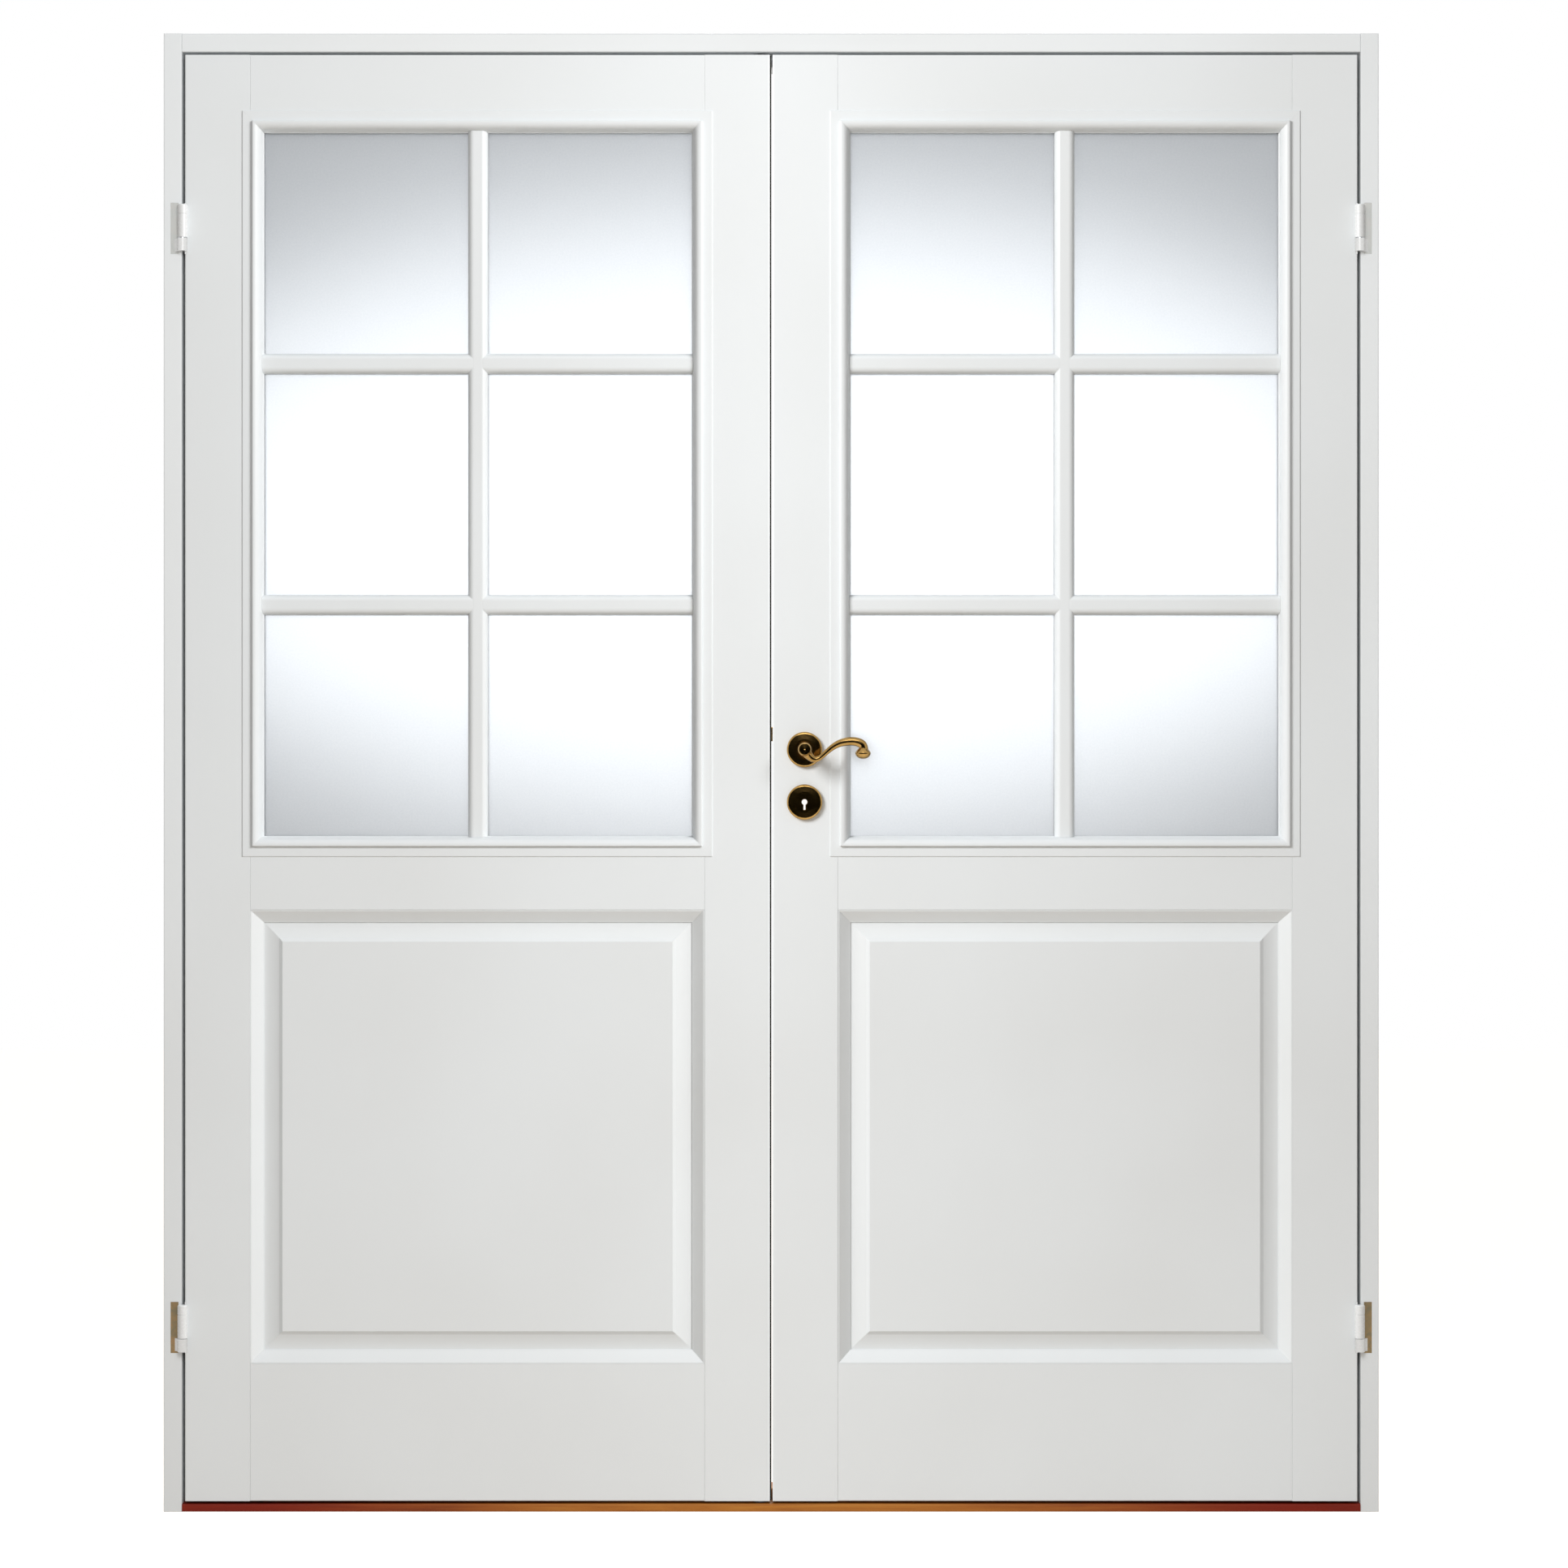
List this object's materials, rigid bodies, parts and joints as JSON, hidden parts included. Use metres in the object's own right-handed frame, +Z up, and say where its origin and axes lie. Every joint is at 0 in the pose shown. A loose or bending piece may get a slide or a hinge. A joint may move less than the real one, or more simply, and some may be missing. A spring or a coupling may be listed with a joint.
{
  "type": "french doors",
  "caption": "Pair of white panelled doors with barred frosted glass over raised panels, in a rebated frame with an oak threshold, brass lever lock, lift-off hinges and flush bolts.",
  "frame": {"origin": "on the floor, at the middle of the threshold's underside, midway through the frame's depth", "axes": "+X to the right seen from the front, +Y from the front face to the back, +Z up"},
  "size_m": [1.714, 0.15, 2.085],
  "materials": {
    "white_paint": "satin white paint on pine",
    "oak": "oiled oak",
    "beech": "plain beech dowel",
    "brass": "polished",
    "steel": "zinc plated",
    "chromated_steel": "yellow chromate",
    "hinge_lacquer": "white lacquer",
    "frosted_glass": "frosted",
    "seal_rubber": "matte"
  },
  "bodies": {
    "frame": {"jamb_left": "white_paint", "jamb_right": "white_paint", "frame_head": "white_paint", "threshold": "oak", "frame_screws": "steel", "hinge_plates": "chromated_steel", "hinge_knuckles": "hinge_lacquer", "hinge_pins": "steel", "hinge_washers": "steel", "hinge_plate_screws": "chromated_steel", "bolt_keeps": "steel"},
    "left_leaf": {"left_hinge_stile": "white_paint", "left_meeting_stile": "white_paint", "left_top_rail": "white_paint", "left_lock_rail": "white_paint", "left_bottom_rail": "white_paint", "left_dowels": "beech", "left_panel": "white_paint", "left_panel_mouldings": "white_paint", "left_glass": "frosted_glass", "left_bead_front": "white_paint", "left_bead_back": "white_paint", "left_bars": "white_paint", "left_hinge_sleeves": "hinge_lacquer", "left_hinge_screws": "steel", "strike_plate": "steel", "flush_bolt_plates": "steel", "left_edge_screws": "steel", "meeting_seal": "seal_rubber"},
    "right_leaf": {"right_hinge_stile": "white_paint", "right_meeting_stile": "white_paint", "right_top_rail": "white_paint", "right_lock_rail": "white_paint", "right_bottom_rail": "white_paint", "right_dowels": "beech", "right_panel": "white_paint", "right_panel_mouldings": "white_paint", "right_glass": "frosted_glass", "right_bead_front": "white_paint", "right_bead_back": "white_paint", "right_bars": "white_paint", "right_hinge_sleeves": "hinge_lacquer", "right_hinge_screws": "steel", "lock_case": "steel", "lock_face_plate": "brass", "right_edge_screws": "brass", "rose_front": "brass", "rose_back": "brass", "escutcheon_front": "brass", "escutcheon_back": "brass", "rose_bolts": "steel"},
    "lever": {"lever_front": "brass", "lever_back": "brass", "spindle": "steel", "lock_follower": "steel"},
    "latch": {"latch_bolt": "brass"},
    "dead_bolt_body": {"dead_bolt": "brass"},
    "top_flush_bolt": {"flush_bolt_top": "steel"},
    "bottom_flush_bolt": {"flush_bolt_bottom": "steel"}
  },
  "joints": [
    {"name": "left_leaf_swing", "type": "hinge", "parent": "frame", "child": "left_leaf", "pos_m": [-0.829, -0.054, 0], "axis": [0, 0, -1], "range_deg": [0, 170]},
    {"name": "right_leaf_swing", "type": "hinge", "parent": "frame", "child": "right_leaf", "pos_m": [0.829, -0.054, 0], "axis": [0, 0, 1], "range_deg": [0, 170]},
    {"name": "lever_turn", "type": "hinge", "parent": "right_leaf", "child": "lever", "pos_m": [0.047, -0.026, 1.075], "axis": [0, 1, 0], "range_deg": [0, 45], "stiffness_Nm_per_rad": 1.2, "springref_deg": -34.38},
    {"name": "latch_slide", "type": "slide", "parent": "right_leaf", "child": "latch", "axis": [1, 0, 0], "range_m": [0, 0.011]},
    {"name": "dead_bolt_slide", "type": "slide", "parent": "right_leaf", "child": "dead_bolt_body", "axis": [-1, 0, 0], "range_m": [0, 0.014]},
    {"name": "top_flush_bolt_slide", "type": "slide", "parent": "left_leaf", "child": "top_flush_bolt", "axis": [0, 0, 1], "range_m": [0, 0.014]},
    {"name": "bottom_flush_bolt_slide", "type": "slide", "parent": "left_leaf", "child": "bottom_flush_bolt", "axis": [0, 0, -1], "range_m": [0, 0.014]}
  ],
  "couplings": [
    {"joint": "latch_slide", "follows": "lever_turn", "m_per_rad": 0.014}
  ]
}
